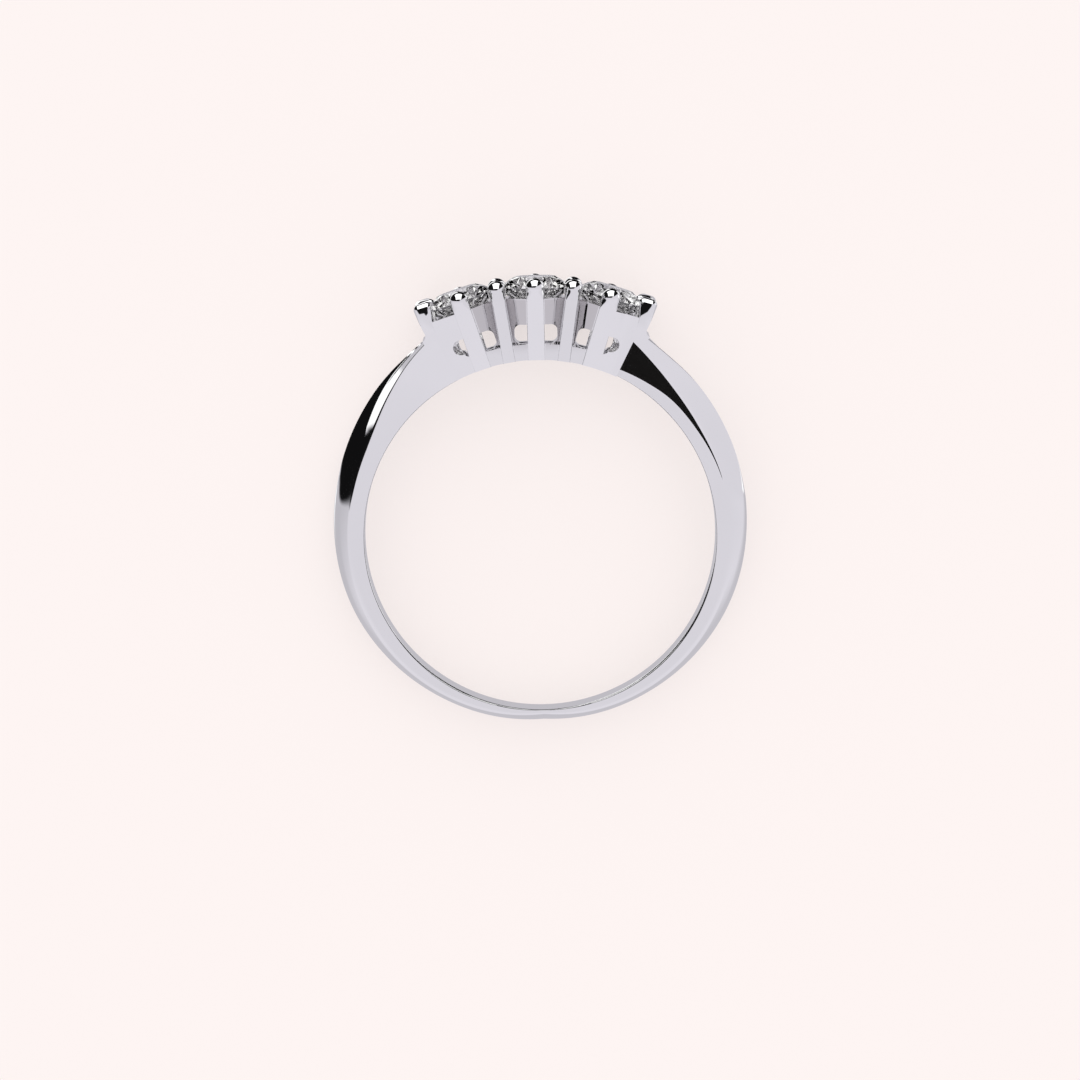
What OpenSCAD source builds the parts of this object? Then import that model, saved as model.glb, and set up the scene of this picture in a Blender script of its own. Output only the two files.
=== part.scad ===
// Three stone ring, lying on its side.
// It is built with the finger hole along Z, the front up and the head towards +Y,
// then laid on a level surface, where it rests on two back prongs and the bottom of the shank.

/* [Finger hole] */
// Diameter of the finger hole (17.2 is size 54)
finger_d = 17.2; // [15:0.1:21]

/* [Shank] */
// Width of the shank along the finger, from the bottom to the sides
shank_w = 2.0; // [1.6:0.1:2.6]
// Thickness of the shank at the bottom
bottom_t = 0.6; // [0.5:0.05:1.2]
// Thickness of the shank at the sides
side_t = 1.56; // [1.3:0.02:1.9]
// Thickness of the shoulders beside the head
shoulder_t = 2.5; // [2.2:0.05:2.7]
// Height of the flat sides of the shank above the finger hole
flat_h = 0.74; // [0.5:0.01:0.9]
// Depth of the hollow under each shoulder's outer band
hollow_d = 0.85; // [0.5:0.05:0.95]
// Rounding of the lengthwise edges of the shank
edge_r = 0.12; // [0.05:0.01:0.2]

/* [Stones] */
// Diameter of each stone across its girdle
stone_d = 3.44; // [3:0.02:3.8]
// Diameter of the table, the flat top of a stone
table_d = 1.96; // [1.6:0.02:2.2]
// Height of the crown, from girdle to table
crown_h = 0.51; // [0.4:0.01:0.6]
// Depth of the pavilion, from girdle to the point
pavilion_h = 1.48; // [1.3:0.01:1.6]
// Thickness of the girdle
girdle_t = 0.1; // [0.05:0.01:0.15]
// Gap between the girdles of neighbouring stones
stone_gap = 0.26; // [0.15:0.01:0.5]
// Gap between a stone and the metal that holds it
seat_gap = 0.03; // [0.02:0.005:0.05]

/* [Head] */
// Height of the stones' girdles above the finger hole
girdle_h = 3.45; // [3.2:0.05:3.8]
// Height of the cup rims above the finger hole
rim_h = 3.0; // [2.8:0.05:3.2]
// Distance across the cup walls at the rim, along the finger
rim_w = 3.4; // [3.2:0.05:3.6]
// Distance across the gallery at the finger hole, along the finger
foot_w = 2.4; // [2.2:0.05:2.8]
// Height of the gallery rail below the windows
rail_h = 0.77; // [0.6:0.01:0.9]
// Width of the windows, along the row of stones
window_w = 2.1; // [1.8:0.05:2.3]
// Height of the windows
window_h = 0.96; // [0.8:0.02:1.1]
// Rounding of the window corners
window_r = 0.32; // [0.2:0.02:0.34]
// Width of the blind pocket at the outer end of an outer window
pocket_w = 0.43; // [0.25:0.01:0.5]
// Height of that pocket, which ends in a half circle
pocket_h = 0.74; // [0.6:0.02:0.8]
// Wall left between the front and the back pocket
pocket_wall = 0.7; // [0.4:0.05:1]
// Diameter of the light hole drilled under each stone
light_d = 1.7; // [1.2:0.05:1.9]
// Wall between the outer windows and the ends of the gallery
end_wall = 0.49; // [0.4:0.01:0.6]
// Rounding of the notch between an end prong and the shoulder
notch_r = 0.28; // [0.2:0.02:0.36]

/* [Prongs] */
// Height of the claw tops above the finger hole
claw_h = 4.02; // [3.8:0.02:4.3]
// Distance across the outer faces of a front and back prong, at the claws
prong_across = 4.7; // [4.4:0.05:5]
// Distance across the same prongs at the finger hole
prong_foot = 2.8; // [2.6:0.05:3.2]
// Width of the front and back prongs
prong_w = 0.84; // [0.6:0.02:0.9]
// Distance across a pair of shared prongs at the claws
shared_across = 3.1; // [2.8:0.05:3.4]
// Distance across a pair of shared prongs at the finger hole
shared_foot = 2.7; // [2.6:0.05:3]
// Width of the shared prongs
shared_w = 0.62; // [0.5:0.02:0.7]
// Width of the claws on the front, back and shared prongs
claw_w = 0.92; // [0.86:0.02:1]
// Length that a claw reaches in from its prong's outer face
claw_reach = 0.98; // [0.9:0.02:1.1]
// Distance from an end stone's axis to the outer face of its end prongs, at the claws
end_out = 2.26; // [2.2:0.02:2.5]
// The same distance where the prongs meet the shoulder
end_foot = 2.1; // [2:0.02:2.2]
// Thickness of the end prongs along the row of stones
end_w = 0.6; // [0.5:0.02:0.7]
// Clear space between the front and back claw of a shared or end pair
pair_gap = 1.2; // [1:0.05:1.4]

/* [Hidden] */

METAL = [0.83, 0.83, 0.86];
STONE = [0.92, 0.95, 0.97, 0.6];

finger_r = finger_d / 2;
girdle_r = finger_r + girdle_h;
rim_r = finger_r + rim_h;
claw_r = finger_r + claw_h;
claw_round = claw_w / 2;

// Facet corners of a stone, measured from the middle of its girdle.
// Star corners lie this share of the way out from the table to the girdle
star_share = 0.5;
// Lower corners of the pavilion lie at this share of the girdle's radius
lower_share = 0.22;
// Angle between a main facet's middle and its side corners
facet_a = 360 / 16;
stone_r = stone_d / 2;
table_r = table_d / 2;
stone_top = girdle_t / 2 + crown_h;
stone_low = -girdle_t / 2 - pavilion_h;
star_r = table_r + (stone_r - table_r) * star_share;
star_z = stone_top - (star_r * cos(facet_a) - table_r) * crown_h / (stone_r - table_r);
lower_r = stone_r * lower_share;
lower_z = stone_low + lower_r * cos(facet_a) * pavilion_h / stone_r;

window_mid_r = finger_r + rail_h + window_h / 2;
// Angle between neighbouring stones, seen along the finger
pitch = 2 * asin((stone_d + stone_gap) / (2 * girdle_r));
// Angles from the middle of the head to the end of the gallery and to the end prongs' outer faces
gallery_a = pitch + asin((window_w / 2 + end_wall) / window_mid_r);
prong_a = pitch + atan(end_foot / (finger_r + shoulder_t));
// Slope of the cup walls away from the middle plane of the ring
wall_lean = (rim_w - foot_w) / 2 / rim_h;
// Solids are carried this far into what they join, or past what they cut
past = 1;
// What runs into a flat wall of the head stays this far inside it
inset = 0.02;
// Prongs and bridges grow out of a cup this far below its rim
below_rim = 0.3;
// A claw's tip is this much lower than its bend
tip_drop = 0.04;
// Angles where a claw's bend leaves the prong's outer face and where it meets the top
BEND = [5, 95];
FINE = 96;

// How the shank changes from the bottom (way 0) to the head (way 1), on its left side.
// side: share of the way from bottom_t to side_t
// top: share of the way from side_t to shoulder_t
// flat: height of the flat sides, as a share of flat_h
// near, far: heights of the front and back creases, from the flat side (0) to the outside (1)
// dip: depth of the hollow, as a share of hollow_d
// foot: height of the hollow's deepest line, as a share of the flat side
// turn: how far the outer ridge has moved to the back
// wide: share of the way from shank_w to the width of the head's walls
// [way, side, top, flat, near, far, dip, foot, turn, wide]
SHANK = [
    [0.00, 0.00, 0.00, 0.27, 0.00, 0.00, 0.00, 0.80, 0.00, 0.00],
    [0.09, 0.13, 0.00, 0.55, 0.00, 0.00, 0.00, 0.80, 0.00, 0.00],
    [0.21, 0.29, 0.00, 0.79, 0.00, 0.00, 0.00, 0.80, 0.00, 0.00],
    [0.33, 0.52, 0.00, 0.96, 0.00, 0.00, 0.00, 0.80, 0.00, 0.00],
    [0.46, 0.79, 0.00, 1.00, 0.00, 0.00, 0.00, 0.80, 0.00, 0.00],
    [0.60, 1.00, 0.00, 1.00, 0.01, 0.00, 0.00, 0.84, 0.35, 0.00],
    [0.70, 1.00, 0.20, 1.00, 0.07, 0.00, 0.06, 0.90, 0.85, 0.05],
    [0.80, 1.00, 0.42, 1.00, 0.25, 0.07, 0.18, 0.80, 0.97, 0.25],
    [0.88, 1.00, 0.61, 1.00, 0.58, 0.23, 0.35, 0.79, 1.00, 0.55],
    [0.94, 1.00, 0.73, 1.00, 0.86, 0.45, 0.64, 0.62, 1.00, 0.80],
    [1.00, 1.00, 1.00, 1.00, 1.00, 0.68, 1.00, 0.46, 1.00, 1.00]];
SIDE = 1;
TOP = 2;
FLAT = 3;
NEAR = 4;
FAR = 5;
DIP = 6;
FOOT = 7;
TURN = 8;
WIDE = 9;

shank_end = 180 - gallery_a;
shank_step = 5;
// The shank's ends run on inside the head by this angle, lower and slimmer than the head's walls
inside_a = 2;
inside_low = 0.12;
inside_share = 0.88;
// A corner's rounding takes no more than this share of the side next to it
corner_share = 0.3;

function row(x, i = 0) = i >= len(SHANK) - 2 || x < SHANK[i + 1][0] ? i : row(x, i + 1);
function tangent(i, c) =
    let (before = max(i - 1, 0), after = min(i + 1, len(SHANK) - 1))
    (SHANK[after][c] - SHANK[before][c]) / (SHANK[after][0] - SHANK[before][0]);
// One column of the table at any way, along a smooth curve through the rows
function share(x, c) =
    let (i = row(x), step = SHANK[i + 1][0] - SHANK[i][0], u = (x - SHANK[i][0]) / step)
    SHANK[i][c] * (2 * pow(u, 3) - 3 * u * u + 1)
    + SHANK[i + 1][c] * (3 * u * u - 2 * pow(u, 3))
    + tangent(i, c) * step * (pow(u, 3) - 2 * u * u + u)
    + tangent(i + 1, c) * step * (pow(u, 3) - u * u);

// Corners of the shank's section: [height above the finger hole, place along the finger]
function section(x) =
    let (
        t = bottom_t + (side_t - bottom_t) * share(x, SIDE) + (shoulder_t - side_t) * share(x, TOP),
        wide = share(x, WIDE),
        half = (shank_w + (foot_w - shank_w) * wide) / 2 - inset * wide,
        lean = wall_lean * wide,
        flat = flat_h * share(x, FLAT),
        near = flat + (t - flat) * share(x, NEAR),
        far = flat + (t - flat) * share(x, FAR),
        foot = flat * share(x, FOOT),
        dip = hollow_d * share(x, DIP),
        ridge = -(half + lean * t) * share(x, TURN)
    )
    [[-past / 2, half], [foot, half + lean * foot], [near, half + lean * near], [t, ridge],
     [far, -half - lean * far], [foot, -half - lean * foot + dip], [-past / 2, -half + dip]];

// Cuts each corner of a closed outline back by edge_r and rounds it with a middle point
function softened(pts) = [for (i = [0:len(pts) - 1])
    let (
        n = len(pts),
        here = pts[i],
        back = pts[(i + n - 1) % n] - here,
        on = pts[(i + 1) % n] - here,
        a = here + back * min(corner_share, edge_r / norm(back)),
        b = here + on * min(corner_share, edge_r / norm(on))
    )
    each [a, (a + 2 * here + b) / 4, b]];

// The right side is the left side turned half round the Y axis
function turned(pts) = [for (i = [len(pts) - 1:-1:0]) [pts[i][0], -pts[i][1]]];
function slimmed(pts) = [for (p = pts) [p[0] - inside_low, p[1] * inside_share]];
// One ring of the loft, at an angle from the bottom: left above 0, right below 0
function ring(a, slim = false) =
    let (
        plain = softened(section(min(abs(a) / shank_end, 1))),
        fitted = slim ? slimmed(plain) : plain,
        pts = a < 0 ? turned(fitted) : fitted
    )
    [for (p = pts) [-(finger_r + p[0]) * sin(a), -(finger_r + p[0]) * cos(a), p[1]]];

function middle(pts) = [for (p = pts) 1] * pts / len(pts);

module loft(rings) {
    n = len(rings[0]);
    last = len(rings) - 1;
    ends = (last + 1) * n;
    walls = [for (k = [0:last - 1], i = [0:n - 1])
        let (a = k * n + i, b = k * n + (i + 1) % n)
        each [[a, a + n, b + n], [a, b + n, b]]];
    caps = [for (i = [0:n - 1])
        let (next = (i + 1) % n)
        each [[i, next, ends], [last * n + next, last * n + i, ends + 1]]];
    points = [for (r = rings) each r];
    polyhedron(concat(points, [middle(rings[0]), middle(rings[last])]), concat(walls, caps), convexity = 8);
}

module shank() {
    steps = ceil(shank_end / shank_step);
    far_end = shank_end + inside_a;
    loft(concat(
        [ring(far_end, true), ring(shank_end + inset, true)],
        [for (k = [steps:-1:-steps]) ring(k / steps * shank_end)],
        [ring(-shank_end - inset, true), ring(-far_end, true)]));
}

function polar(r, a) = [r * sin(a), r * cos(a)];
function arc(mid, r, from, to, n) =
    [for (i = [0:n]) mid + r * [cos(from + (to - from) * i / n), sin(from + (to - from) * i / n)]];
// A place beside an end stone's axis, in the front view of the whole ring
function by_end_stone(x, y) = [x * cos(pitch) + y * sin(pitch), y * cos(pitch) - x * sin(pitch)];

// Turns from the middle stone's place to another's: -1 left, 1 right, halves for shared prongs
module at_stone(k) rotate([0, 0, -k * pitch]) children();

// Everything between the two walls that lean outwards from the finger hole
module between_walls() {
    outer = claw_h + past;
    rotate_extrude($fn = FINE)
        polygon([[0, 0],
            [finger_r - past, foot_w / 2 - wall_lean * past],
            [finger_r + outer, foot_w / 2 + wall_lean * outer],
            [finger_r + outer, -foot_w / 2 - wall_lean * outer],
            [finger_r - past, -foot_w / 2 + wall_lean * past]]);
}

// Rounded corner between the shoulder's top and the end prongs' outer face
function notch_points(n) =
    let (
        up = polar(1, prong_a),
        out = [up[1], -up[0]],
        foot_r = finger_r + shoulder_t - 2 * inset,
        mid = (foot_r + notch_r) * up + notch_r * out
    )
    concat([(foot_r - notch_r) * up + notch_r * out],
        [for (i = [0:n]) mid - notch_r * (cos(90 * i / n) * up + sin(90 * i / n) * out)]);

// End wall of the gallery with the outline of the end prongs, in the front view
module end_outline() {
    bend_mid = [end_out - claw_round, claw_r - claw_round];
    polygon(concat(
        [by_end_stone(0, finger_r - past), polar(finger_r - past, gallery_a),
         polar(finger_r + shoulder_t - notch_r, gallery_a)],
        notch_points(4),
        [for (p = arc(bend_mid, claw_round, BEND[0], BEND[1], 6)) by_end_stone(p[0], p[1])],
        [by_end_stone(end_out - claw_reach, claw_r - tip_drop),
         by_end_stone(end_out - claw_reach, girdle_r),
         by_end_stone(end_out - end_w, (girdle_r + rim_r) / 2),
         by_end_stone(end_out - end_w, rim_r),
         by_end_stone(0, rim_r)]));
}

module end_wall_solid() {
    intersection() {
        linear_extrude(height = prong_across + past, center = true) end_outline();
        between_walls();
        end_claw_room();
    }
}

// Room that the end wall keeps to, so that its two claws are rounded across the finger too
module end_claw_room() {
    mid = (pair_gap + claw_w) / 2;
    wide = prong_across / 2;
    at_stone(1) rotate([0, 90, 0])
        linear_extrude(height = 2 * (end_out + past), center = true)
            for (side = [-1, 1]) {
                polygon([[-side * past / 2, finger_r - 2 * past], [side * wide, finger_r - 2 * past],
                         [side * wide, rim_r], [side * (mid + claw_round), girdle_r + girdle_t],
                         [side * (mid + claw_round), claw_r - claw_round],
                         [side * (mid - claw_round), claw_r - claw_round],
                         [side * (mid - claw_round), rim_r], [-side * past / 2, rim_r]]);
                translate([side * mid, claw_r - claw_round]) circle(r = claw_round, $fn = 48);
            }
}

// A cup round a stone's axis, down to the finger hole
module cup() {
    top = rim_w / 2 - 2 * inset;
    translate([0, finger_r - past, 0]) rotate([-90, 0, 0])
        cylinder(h = rim_h + past, r1 = top - wall_lean * (rim_h + past), r2 = top, $fn = FINE);
}

module rail() {
    half_a = (pitch + gallery_a) / 2;
    rotate([0, 0, 90 - half_a]) rotate_extrude(angle = 2 * half_a, $fn = FINE)
        translate([finger_r - past, -foot_w / 2 + inset])
            square([rail_h + past, foot_w - 2 * inset]);
}

// Upright bridge between two cups, which carries a shared pair of prongs
module bridge() {
    depth = shared_foot - 2 * shared_w;
    translate([-shared_w / 2, finger_r - past, -depth / 2])
        cube([shared_w, rim_h + past - below_rim, depth]);
}

module window_outline(left, right) {
    low = window_mid_r - window_h / 2;
    high = window_mid_r + window_h / 2;
    translate([-left + window_r, low]) square([left + right - 2 * window_r, window_h]);
    translate([-left, low + window_r]) square([left + right, window_h - 2 * window_r]);
    for (x = [-left + window_r, right - window_r], y = [low + window_r, high - window_r])
        translate([x, y]) circle(r = window_r, $fn = 32);
}

// A blind pocket's outline, from the middle of its window out to a half circle, its top in line
// with the window's
module pocket_outline(side) {
    r = pocket_h / 2;
    far = window_w / 2 - r;
    mid = window_mid_r + window_h / 2 - r;
    translate([side * far, mid]) circle(r = r, $fn = 48);
    translate([side * far / 2, mid]) square([far, pocket_h], center = true);
}

// Window right through under one stone; an outer one has a blind pocket at its outer end
module window(k) {
    half = window_w / 2;
    deep = prong_across + 2 * past;
    at_stone(k) {
        linear_extrude(height = deep, center = true)
            window_outline(half - (k < 0 ? pocket_w : 0), half - (k > 0 ? pocket_w : 0));
        if (k != 0) for (side = [-1, 1])
            translate([0, 0, side * (deep + pocket_wall) / 2])
                linear_extrude(height = deep, center = true) pocket_outline(k);
    }
}

// A prong, in a frame with the row of stones along X and the finger along Z.
// It leans out from foot to across and its claw bends in over the stones.
module prong(width, foot, across, inner) {
    outer_z = across / 2;
    low_r = finger_r - past;
    lean = (across - foot) / 2 / (claw_h - claw_round);
    low_z = foot / 2 - lean * past;
    bend_mid = [outer_z - claw_round, claw_r - claw_round];
    intersection() {
        rotate([0, 90, 0]) linear_extrude(height = claw_w + past, center = true)
            polygon(concat(
                [[-low_z, low_r]],
                [for (p = arc(bend_mid, claw_round, BEND[0], BEND[1], 6)) [-p[0], p[1]]],
                [[-outer_z + claw_reach, claw_r - tip_drop],
                 [-outer_z + claw_reach, girdle_r],
                 [-inner, rim_r - below_rim],
                 [-min(inner, low_z - shared_w / 2), low_r]]));
        linear_extrude(height = across + past) {
            polygon([[-width / 2, low_r], [width / 2, low_r], [width / 2, rim_r],
                     [claw_round, girdle_r + girdle_t], [claw_round, claw_r - claw_round],
                     [-claw_round, claw_r - claw_round], [-claw_round, girdle_r + girdle_t],
                     [-width / 2, rim_r]]);
            translate([0, claw_r - claw_round]) circle(r = claw_round, $fn = 48);
        }
    }
}

// Front and back prong of a pair
module prong_pair(width, foot, across, inner) {
    for (side = [0, 180]) rotate([0, side, 0]) prong(width, foot, across, inner);
}

// Room for a stone with the seat gap all round, and the light hole below it.
// Its profile passes outside every facet corner.
module stone_room() {
    up = seat_gap / 2;
    top = stone_top + seat_gap;
    translate([0, girdle_r, 0]) rotate([-90, 0, 0])
        rotate_extrude($fn = FINE)
            polygon([[0, stone_low - seat_gap], [lower_r + seat_gap, lower_z - up],
                     [stone_r + seat_gap, -girdle_t / 2 - up], [stone_r + seat_gap, girdle_t / 2 + up],
                     [star_r + seat_gap, star_z + up], [table_r + seat_gap, top], [0, top]]);
    translate([0, finger_r - past, 0]) rotate([-90, 0, 0])
        cylinder(h = girdle_h, d = light_d, $fn = 64);
}

module finger_hole() {
    cylinder(h = prong_across + 2 * past, r = finger_r, center = true, $fn = 180);
}

// Gallery, cups and windows
module gallery() {
    difference() {
        union() {
            rail();
            end_wall_solid();
            mirror([1, 0, 0]) end_wall_solid();
            for (k = [-1, 0, 1]) at_stone(k) cup();
            for (k = [-0.5, 0.5]) at_stone(k) bridge();
        }
        for (k = [-1, 0, 1]) window(k);
    }
}

module head() {
    difference() {
        union() {
            gallery();
            for (k = [-1, 0, 1]) at_stone(k)
                prong_pair(prong_w, prong_foot, prong_across, stone_r - seat_gap);
            for (k = [-0.5, 0.5]) at_stone(k)
                prong_pair(shared_w, shared_foot, shared_across, pair_gap / 2);
        }
        for (k = [-1, 0, 1]) at_stone(k) stone_room();
        finger_hole();
    }
}

module ring_mount() color(METAL) {
    head();
    difference() {
        shank();
        finger_hole();
    }
}

// Round brilliant: table, 8 stars, 8 kites and 16 halves above the girdle, 16 halves and 8 mains below
module brilliant() {
    function round_row(n, radius, z, first) =
        [for (i = [0:n - 1]) let (a = first + 360 * i / n) [radius * cos(a), radius * sin(a), z]];
    points = concat(
        round_row(8, table_r, stone_top, 0), round_row(8, star_r, star_z, facet_a),
        round_row(16, stone_r, girdle_t / 2, 0), round_row(16, stone_r, -girdle_t / 2, 0),
        round_row(8, lower_r, lower_z, facet_a), [[0, 0, stone_low]]);
    STAR = 8;
    UP = 16;
    DOWN = 32;
    LOWER = 48;
    POINT = 56;
    faces = concat(
        [[for (i = [7:-1:0]) i]],
        [for (i = [0:7]) let (n = (i + 1) % 8, g = 2 * i, m = 2 * i + 1, h = (2 * i + 2) % 16)
            each [[i, n, STAR + i], [i, STAR + i, UP + g], [n, UP + h, STAR + i],
                  [STAR + i, UP + m, UP + g], [STAR + i, UP + h, UP + m],
                  [UP + g, UP + m, DOWN + m], [UP + g, DOWN + m, DOWN + g],
                  [UP + m, UP + h, DOWN + h], [UP + m, DOWN + h, DOWN + m],
                  [LOWER + i, DOWN + g, DOWN + m], [LOWER + i, DOWN + m, DOWN + h],
                  [LOWER + i, POINT, DOWN + g], [LOWER + i, DOWN + h, POINT]]]);
    color(STONE) polyhedron(points, faces, convexity = 2);
}

module stone(k) at_stone(k) translate([0, girdle_r, 0]) rotate([-90, 0, 0]) brilliant();
module centre_stone() stone(0);
module left_stone() stone(-1);
module right_stone() stone(1);

// Lowest points of the ring lying on its back: the corner of an end stone's back prong, and the shank
prong_y = (claw_r - claw_round) * cos(pitch) - claw_round * sin(pitch);
shank_y = finger_r + bottom_t - edge_r;
rest_tilt = atan((prong_across - shank_w) / 2 / (prong_y + shank_y));
rest_z = shank_w / 2 * cos(rest_tilt) + shank_y * sin(rest_tilt);
// Middle of the laid ring between the claw tops and the bottom of the shank
claw_y = claw_r * cos(rest_tilt) + (prong_across / 2 - claw_round) * sin(rest_tilt);
bottom_y = (finger_r + bottom_t) * cos(rest_tilt);
rest_y = (bottom_y - claw_y) / 2;

module laid_down() translate([0, rest_y, rest_z]) rotate([rest_tilt, 0, 0]) children();

laid_down() ring_mount();
laid_down() centre_stone();
laid_down() left_stone();
laid_down() right_stone();
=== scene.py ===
import math

import bmesh
import bpy
import numpy as np
from mathutils import Matrix, Vector


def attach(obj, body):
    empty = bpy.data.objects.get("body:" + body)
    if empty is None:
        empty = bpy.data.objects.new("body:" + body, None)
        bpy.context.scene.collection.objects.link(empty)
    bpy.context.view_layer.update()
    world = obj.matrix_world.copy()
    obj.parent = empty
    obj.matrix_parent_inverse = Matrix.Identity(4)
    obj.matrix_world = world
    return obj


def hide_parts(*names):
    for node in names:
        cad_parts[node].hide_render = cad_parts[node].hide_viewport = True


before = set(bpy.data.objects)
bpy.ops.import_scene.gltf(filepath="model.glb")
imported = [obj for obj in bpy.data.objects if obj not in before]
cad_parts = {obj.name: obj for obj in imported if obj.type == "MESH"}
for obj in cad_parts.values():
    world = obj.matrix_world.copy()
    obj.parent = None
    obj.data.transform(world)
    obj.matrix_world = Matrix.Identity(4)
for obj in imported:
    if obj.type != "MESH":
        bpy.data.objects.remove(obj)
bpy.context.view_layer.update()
scene = bpy.context.scene

# Sizes in mm, as in the part's source. The ring is built with the finger hole along Z, the front
# up and the head towards +Y, and laid down at the end.
FINGER_R = 8.6
SHANK_W = 2.0
BOTTOM_T = 0.6
SIDE_T = 1.56
SHOULDER_T = 2.5
FLAT_H = 0.74
EDGE_R = 0.12
HOLLOW_D = 0.85
STONE_R = 1.72
TABLE_R = 0.98
CROWN_H = 0.51
PAVILION_H = 1.48
GIRDLE_T = 0.1
SEAT_GAP = 0.03
GIRDLE_R = FINGER_R + 3.45
RIM_H = 3.0
RIM_R = FINGER_R + RIM_H
RIM_W = 3.4
FOOT_W = 2.4
RAIL_H = 0.77
WINDOW_W = 2.1
WINDOW_H = 0.96
WINDOW_CORNER = 0.32
POCKET_W = 0.43
POCKET_H = 0.74
POCKET_WALL = 0.7
LIGHT_R = 0.85
END_WALL = 0.49
NOTCH_R = 0.28
CLAW_R = FINGER_R + 4.02
CLAW_ROUND = 0.46
CLAW_REACH = 0.98
CLAW_FOOT = CLAW_R - CLAW_ROUND
PRONG_ACROSS = 4.7
PRONG_FOOT = 2.8
PRONG_W = 0.84
SHARED_ACROSS = 3.1
SHARED_FOOT = 2.7
SHARED_W = 0.62
END_OUT = 2.26
END_FOOT = 2.1
END_W = 0.6
END_CLAW_FRONT = 1.68
END_CLAW_EDGE = 0.28
PAIR_GAP = 1.2
PITCH = 2 * math.asin((2 * STONE_R + 0.26) / (2 * GIRDLE_R))
WINDOW_MID = FINGER_R + RAIL_H + WINDOW_H / 2
GALLERY_A = PITCH + math.asin((WINDOW_W / 2 + END_WALL) / WINDOW_MID)
PRONG_A = PITCH + math.atan(END_FOOT / (FINGER_R + SHOULDER_T))
SHANK_END = math.pi - GALLERY_A
WALL_LEAN = (RIM_W - FOOT_W) / 2 / RIM_H
PAST = 1.0
# Faces that would lie in one plane keep this apart
SKIN = 0.002
PRONG_EDGE = 0.05
PRONG_ROUND = 0.07
# The prongs widen into their claws over this height, and lean in from this far below the rim
CLAW_START = 0.8
LEAN_START = 0.3
TIP_R = 0.3
END_TIP_R = 0.27
END_TIP_BACK = 0.36
BLEND_W = 0.85
# Cuts right through the ring reach this far from its middle plane
THROUGH = 4
# Points closer than this become one, and faces that meet at more than this angle keep their edge
WELD = 0.0005
SHARP = math.radians(24)

# Lowest points of the ring lying on its back, as in the part's source: the corner of an end
# stone's back prong, and the shank
PRONG_Y = (CLAW_R - CLAW_ROUND) * math.cos(PITCH) - CLAW_ROUND * math.sin(PITCH)
SHANK_Y = FINGER_R + BOTTOM_T - EDGE_R
REST_TILT = math.atan((PRONG_ACROSS - SHANK_W) / 2 / (PRONG_Y + SHANK_Y))
REST_Z = SHANK_W / 2 * math.cos(REST_TILT) + SHANK_Y * math.sin(REST_TILT)
# Middle of the laid ring between the claw tops and the bottom of the shank
CLAW_Y = CLAW_R * math.cos(REST_TILT) + (PRONG_ACROSS / 2 - CLAW_ROUND) * math.sin(REST_TILT)
BOTTOM_Y = (FINGER_R + BOTTOM_T) * math.cos(REST_TILT)
REST_Y = (BOTTOM_Y - CLAW_Y) / 2
PLACE = (
    Matrix.Translation((0, REST_Y / 1000, REST_Z / 1000))
    @ Matrix.Rotation(REST_TILT, 4, "X")
    @ Matrix.Scale(0.001, 4)
)

# The black flag over the finger hole: its radius, and its height over the ring's middle plane
FLAG_R = 5.5
FLAG_UP = 4
# The camera: angle above the finger hole's axis, turn and distance in m, and the photo's scale
VIEW_UP = math.radians(6.3)
VIEW_TURN = math.radians(1.25)
VIEW_AWAY = 0.26
PHOTO_PX = 1080
PX_PER_MM = 20.4
VIEW_OFF_PX = (0.3, 7)
SENSOR_MM = 36

# How the shank changes from the bottom (way 0) to the head (way 1), as in the part's source:
# way, side, top, flat, near, far, dip, foot, turn, wide
SHANK = np.array([
    [0.00, 0.00, 0.00, 0.27, 0.00, 0.00, 0.00, 0.80, 0.00, 0.00],
    [0.09, 0.13, 0.00, 0.55, 0.00, 0.00, 0.00, 0.80, 0.00, 0.00],
    [0.21, 0.29, 0.00, 0.79, 0.00, 0.00, 0.00, 0.80, 0.00, 0.00],
    [0.33, 0.52, 0.00, 0.96, 0.00, 0.00, 0.00, 0.80, 0.00, 0.00],
    [0.46, 0.79, 0.00, 1.00, 0.00, 0.00, 0.00, 0.80, 0.00, 0.00],
    [0.60, 1.00, 0.00, 1.00, 0.01, 0.00, 0.00, 0.84, 0.35, 0.00],
    [0.70, 1.00, 0.20, 1.00, 0.07, 0.00, 0.06, 0.90, 0.85, 0.05],
    [0.80, 1.00, 0.42, 1.00, 0.25, 0.07, 0.18, 0.80, 0.97, 0.25],
    [0.88, 1.00, 0.61, 1.00, 0.58, 0.23, 0.35, 0.79, 1.00, 0.55],
    [0.94, 1.00, 0.73, 1.00, 0.86, 0.45, 0.64, 0.62, 1.00, 0.80],
    [1.00, 1.00, 1.00, 1.00, 1.00, 0.68, 1.00, 0.46, 1.00, 1.00],
])

# Rise of the near face up to its knee, as a share of its whole rise, and the slope behind the knee
KNEE_AT = [0.74, 0.77, 0.80, 0.85, 0.90, 1.0]
KNEE_RISE = [0.0, 0.12, 0.39, 0.50, 0.60, 0.60]
KNEE_SLOPE = 0.5
# Points of a section between its last corner and its first
LAST_RUN = 8


def shares(x):
    """Every column of the table at any way, along a smooth curve through the rows."""
    i = min(int(np.searchsorted(SHANK[:, 0], x, side="right")) - 1, len(SHANK) - 2)

    def slope(k):
        lo, hi = max(k - 1, 0), min(k + 1, len(SHANK) - 1)
        return (SHANK[hi] - SHANK[lo]) / (SHANK[hi, 0] - SHANK[lo, 0])

    step = SHANK[i + 1, 0] - SHANK[i, 0]
    u = (x - SHANK[i, 0]) / step
    return (
        SHANK[i] * (2 * u**3 - 3 * u**2 + 1)
        + SHANK[i + 1] * (3 * u**2 - 2 * u**3)
        + slope(i) * step * (u**3 - 2 * u**2 + u)
        + slope(i + 1) * step * (u**3 - u**2)
    )


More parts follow.
